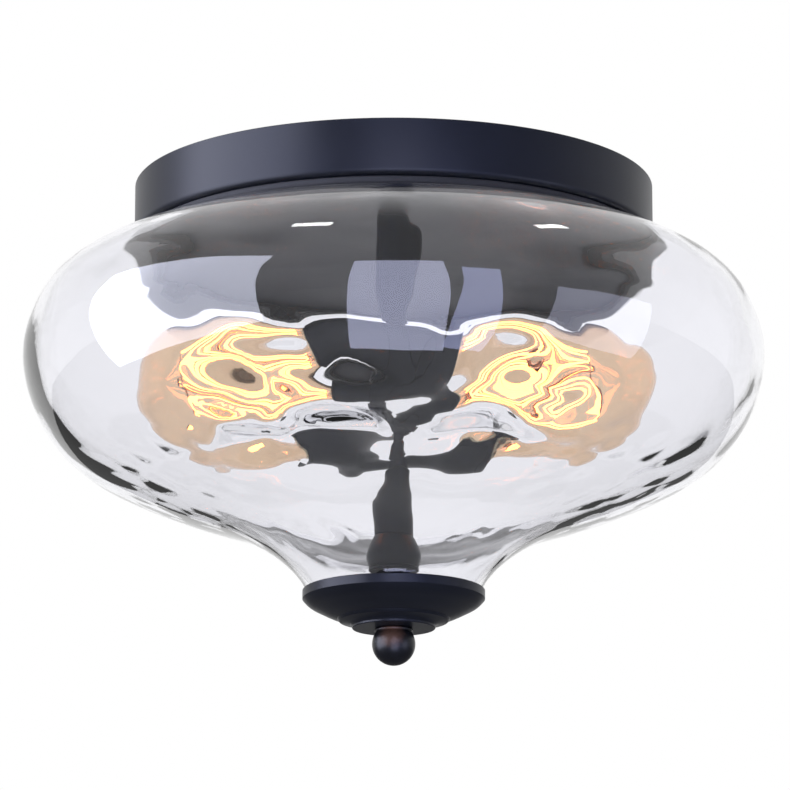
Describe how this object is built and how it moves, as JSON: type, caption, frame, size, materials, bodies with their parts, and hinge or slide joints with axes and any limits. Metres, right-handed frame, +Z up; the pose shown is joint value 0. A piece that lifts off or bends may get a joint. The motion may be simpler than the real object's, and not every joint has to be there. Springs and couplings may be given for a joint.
{
  "type": "ceiling lantern",
  "caption": "Flush ceiling lantern: dark steel pan, rippled clear glass bowl with a drawn-in neck, amber screw lamps on a central stem, dished cap and ball finial.",
  "frame": {"origin": "centre of the ceiling plane, on the top face of the mounting strap, in the middle of its two slots", "axes": "+Z up into the ceiling; the two lamps and the strap's slots lie along X; the lantern hangs below z = 0"},
  "size_m": [0.33, 0.33, 0.2166],
  "materials": {
    "black_enamel": "satin powder coat, blue-black",
    "zinc_steel": "zinc plated",
    "earth_green": "green lacquered screw",
    "foam_rubber": "closed-cell foam",
    "clear_glass": "clear blown glass with water ripples",
    "stem_glass": "clear lamp glass",
    "amber_glass": "amber lamp glass",
    "black_glass": "black insulating glass",
    "glazed_porcelain": "glazed",
    "brass": "rolled brass",
    "solder": "soldered contact",
    "support_wire": "drawn wire",
    "glowing_wire": "glowing filament",
    "black_insulation": "wire insulation",
    "white_insulation": "wire insulation"
  },
  "bodies": {
    "fixture": {"crossbar": "zinc_steel", "ground_screw": "earth_green", "strap_nut": "zinc_steel", "supply_pipe": "zinc_steel", "pan_nut": "zinc_steel", "pan_washer": "zinc_steel", "ceiling_pan": "black_enamel", "shade_gasket": "foam_rubber", "upper_stem": "black_enamel", "hub": "black_enamel", "socket_screws": "zinc_steel", "lower_rod": "black_enamel", "lower_stem": "black_enamel", "bell": "black_enamel", "bell_nut": "black_enamel", "black_leads": "black_insulation", "white_leads": "white_insulation", "left_socket_cover": "black_enamel", "left_porcelain": "glazed_porcelain", "left_screw_shell": "brass", "left_centre_contact": "brass", "right_socket_cover": "black_enamel", "right_porcelain": "glazed_porcelain", "right_screw_shell": "brass", "right_centre_contact": "brass"},
    "shade": {"glass_shade": "clear_glass", "neck_gasket": "foam_rubber", "bottom_cap": "black_enamel"},
    "finial": {"finial": "black_enamel"},
    "left_lamp": {"left_lamp_glass": "amber_glass", "left_lamp_cap": "brass", "left_lamp_insulator": "black_glass", "left_lamp_contact": "solder", "left_lamp_stem": "stem_glass", "left_filament": "glowing_wire", "left_filament_supports": "support_wire"},
    "right_lamp": {"right_lamp_glass": "amber_glass", "right_lamp_cap": "brass", "right_lamp_insulator": "black_glass", "right_lamp_contact": "solder", "right_lamp_stem": "stem_glass", "right_filament": "glowing_wire", "right_filament_supports": "support_wire"}
  },
  "joints": [
    {"name": "shade_drop", "type": "slide", "parent": "fixture", "child": "shade", "axis": [0, 0, -1], "range_m": [0, 0.18]},
    {"name": "finial_turn", "type": "hinge", "parent": "shade", "child": "finial", "pos_m": [0, 0, -0.2071], "axis": [0, 0, -1], "continuous": true},
    {"name": "left_lamp_turn", "type": "hinge", "parent": "fixture", "child": "left_lamp", "pos_m": [-0.03, 0, -0.088], "axis": [-1, 0, 0], "range_deg": [0, 1260]},
    {"name": "right_lamp_turn", "type": "hinge", "parent": "fixture", "child": "right_lamp", "pos_m": [0.03, 0, -0.088], "axis": [1, 0, 0], "range_deg": [0, 1260]}
  ]
}
